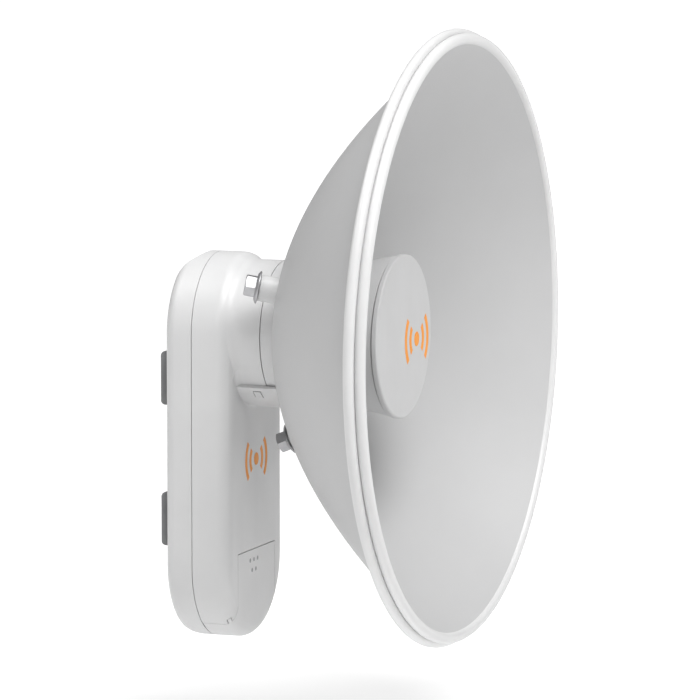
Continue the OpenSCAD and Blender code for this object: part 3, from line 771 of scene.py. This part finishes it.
def pan_head(radius, height, shank_r, shank, recess):
    """A domed screw head with a cross recess. Its seat is at Z 0, its head points along +Z."""
    mesh = bmesh.new()
    dome = [(radius, 0.15 * MM), (radius, height * 0.45)]
    for a in (0.3, 0.6, 0.9, 1.2):
        dome.append((radius * math.cos(a), height * (0.45 + 0.55 * math.sin(a))))
    profile = [(0, -shank), (shank_r - 0.3 * MM, -shank), (shank_r, 0.3 * MM - shank)]
    profile += [(shank_r, 0), (radius - 0.15 * MM, 0), *dome, (0, height)]
    turn_profile(mesh, profile, 40)
    bmesh.ops.recalc_face_normals(mesh, faces=mesh.faces)
    head = finished_mesh("pan_head", mesh, screw_steel)
    cutter = bmesh.new()
    arm = Matrix.Diagonal((recess * 2, recess * 0.42, height * 1.3, 1))
    for turn in (0, 90):
        move = Matrix.Translation((0, 0, height)) @ Matrix.Rotation(math.radians(turn), 4, "Z")
        bmesh.ops.create_cube(cutter, size=1, matrix=move @ arm)
    tool = finished_mesh("recess", cutter, screw_steel)
    cut = head.modifiers.new("recess", "BOOLEAN")
    cut.object = tool
    cut.solver = "EXACT"
    cut.use_self = True
    seen = head.evaluated_get(bpy.context.evaluated_depsgraph_get())
    head.modifiers.clear()
    data = bpy.data.meshes.new_from_object(seen)
    head.data = data
    bpy.data.objects.remove(tool)
    return head


def screws_on_grid(name, screw, node, places, columns, rows, size):
    """One piece of screws: a copy of the grid at each of the places, heads pointing back."""
    whole = bmesh.new()
    for place in places:
        part = bpy.data.objects.new(name, screw.data.copy())
        bpy.context.scene.collection.objects.link(part)
        values = {"Columns": columns, "Rows": rows, "Width": size[0], "Height": size[1]}
        values["Material"] = screw_steel
        to_world = Matrix.Translation(place) @ Matrix.Rotation(math.radians(-90), 4, "X")
        run_tree(part, grid_of_copies, values, 35, to_world)
        whole.from_mesh(part.data)
        bpy.data.objects.remove(part)
    bpy.data.objects.remove(screw)
    place_piece(finished_mesh(name, whole, screw_steel), "radio", "steel", node)


def make_back_screws():
    """Case screws, saddle screws and the ground screw, each set as large as its CAD node."""
    low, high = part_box("case_screws")
    head_r, head_t = 2.6 * MM, 2.2 * MM
    screw = pan_head(head_r, head_t, 1.4 * MM, high.y - low.y - head_t, 1.5 * MM)
    size = (high.x - low.x - 2 * head_r, high.z - low.z - 2 * head_r)
    place = (0, high.y - head_t, (low.z + high.z) / 2)
    screws_on_grid("case_screw_set", screw, "case_screws", [place], 2, 3, size)

    low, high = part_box("saddle_screws")
    head_r, head_t = 1.9 * MM, 1.6 * MM
    screw = pan_head(head_r, head_t, 1.25 * MM, high.y - low.y - head_t, 1.1 * MM)
    upper, lower = middle_of("saddle_upper").z, middle_of("saddle_lower").z
    size = (high.x - low.x - 2 * head_r, high.z - low.z - 2 * head_r - (upper - lower))
    places = [(0, high.y - head_t, z) for z in (upper, lower)]
    screws_on_grid("saddle_screw_set", screw, "saddle_screws", places, 2, 2, size)

    low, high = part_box("ground_screw")
    head_t = 2.6 * MM
    screw = pan_head((high.x - low.x) / 2, head_t, 2.0 * MM, high.y - low.y - head_t, 2.1 * MM)
    place = ((low.x + high.x) / 2, high.y - head_t, (low.z + high.z) / 2)
    screws_on_grid("ground_screw_head", screw, "ground_screw", [place], 1, 1, (0, 0))


def dress(material, *names):
    """Gives CAD nodes that keep their own mesh a finish."""
    for name in names:
        for holder in nodes[name].material_slots:
            holder.material = material


add_camera()
make_bowl()
make_rim()
make_disc()
make_cone()
make_bolts()
make_back_screws()
eased_copy("case_front", "front_shell", white_shell, "radio", "white_plastic", 0.25 * MM)
eased_copy("case_rear", "rear_shell", white_shell, "radio", "white_plastic", 0.25 * MM)
eased_copy("port_door", "port_cover", white_shell, "port_door", "white_plastic", 0.2 * MM)
eased_copy("saddle_top", "saddle_upper", lug_grey, "radio", "grey_plastic", 0.3 * MM)
eased_copy("saddle_bottom", "saddle_lower", lug_grey, "radio", "grey_plastic", 0.3 * MM)
flat_print("disc_mark", "disc_emblem", "antenna", "orange_plastic", mark_orange)
flat_print("radio_mark", "radio_emblem", "radio", "orange_plastic", mark_orange)
dress(white_part, "lock_tab_left", "lock_tab_right", "hub_ring")
dress(cap_grey, "feed_base")
dress(seal_black, "case_gasket", "hub_seal", "cover_seal", "cable_gland")
dress(part_black, "vent_plug", "board_chips", "lan_transformer", "reset_switch")
dress(
    screw_steel,
    "hub_screws",
    "cone_screws",
    "sub_screws",
    "ground_washer",
    "lock_spring",
    "ethernet_jack",
)
dress(bright_alloy, "feed_tube", "subreflector", "omt_cup", "shield_can")
dress(gold_plate, "jack_contacts", "probes")
dress(guide_clear, "light_pipes", "status_leds")
dress(lens_smoke, "cover_lenses")
dress(feed_white, "feed_plug")
dress(cap_red, "reset_button")
dress(green_board, "main_board")
add_surroundings()
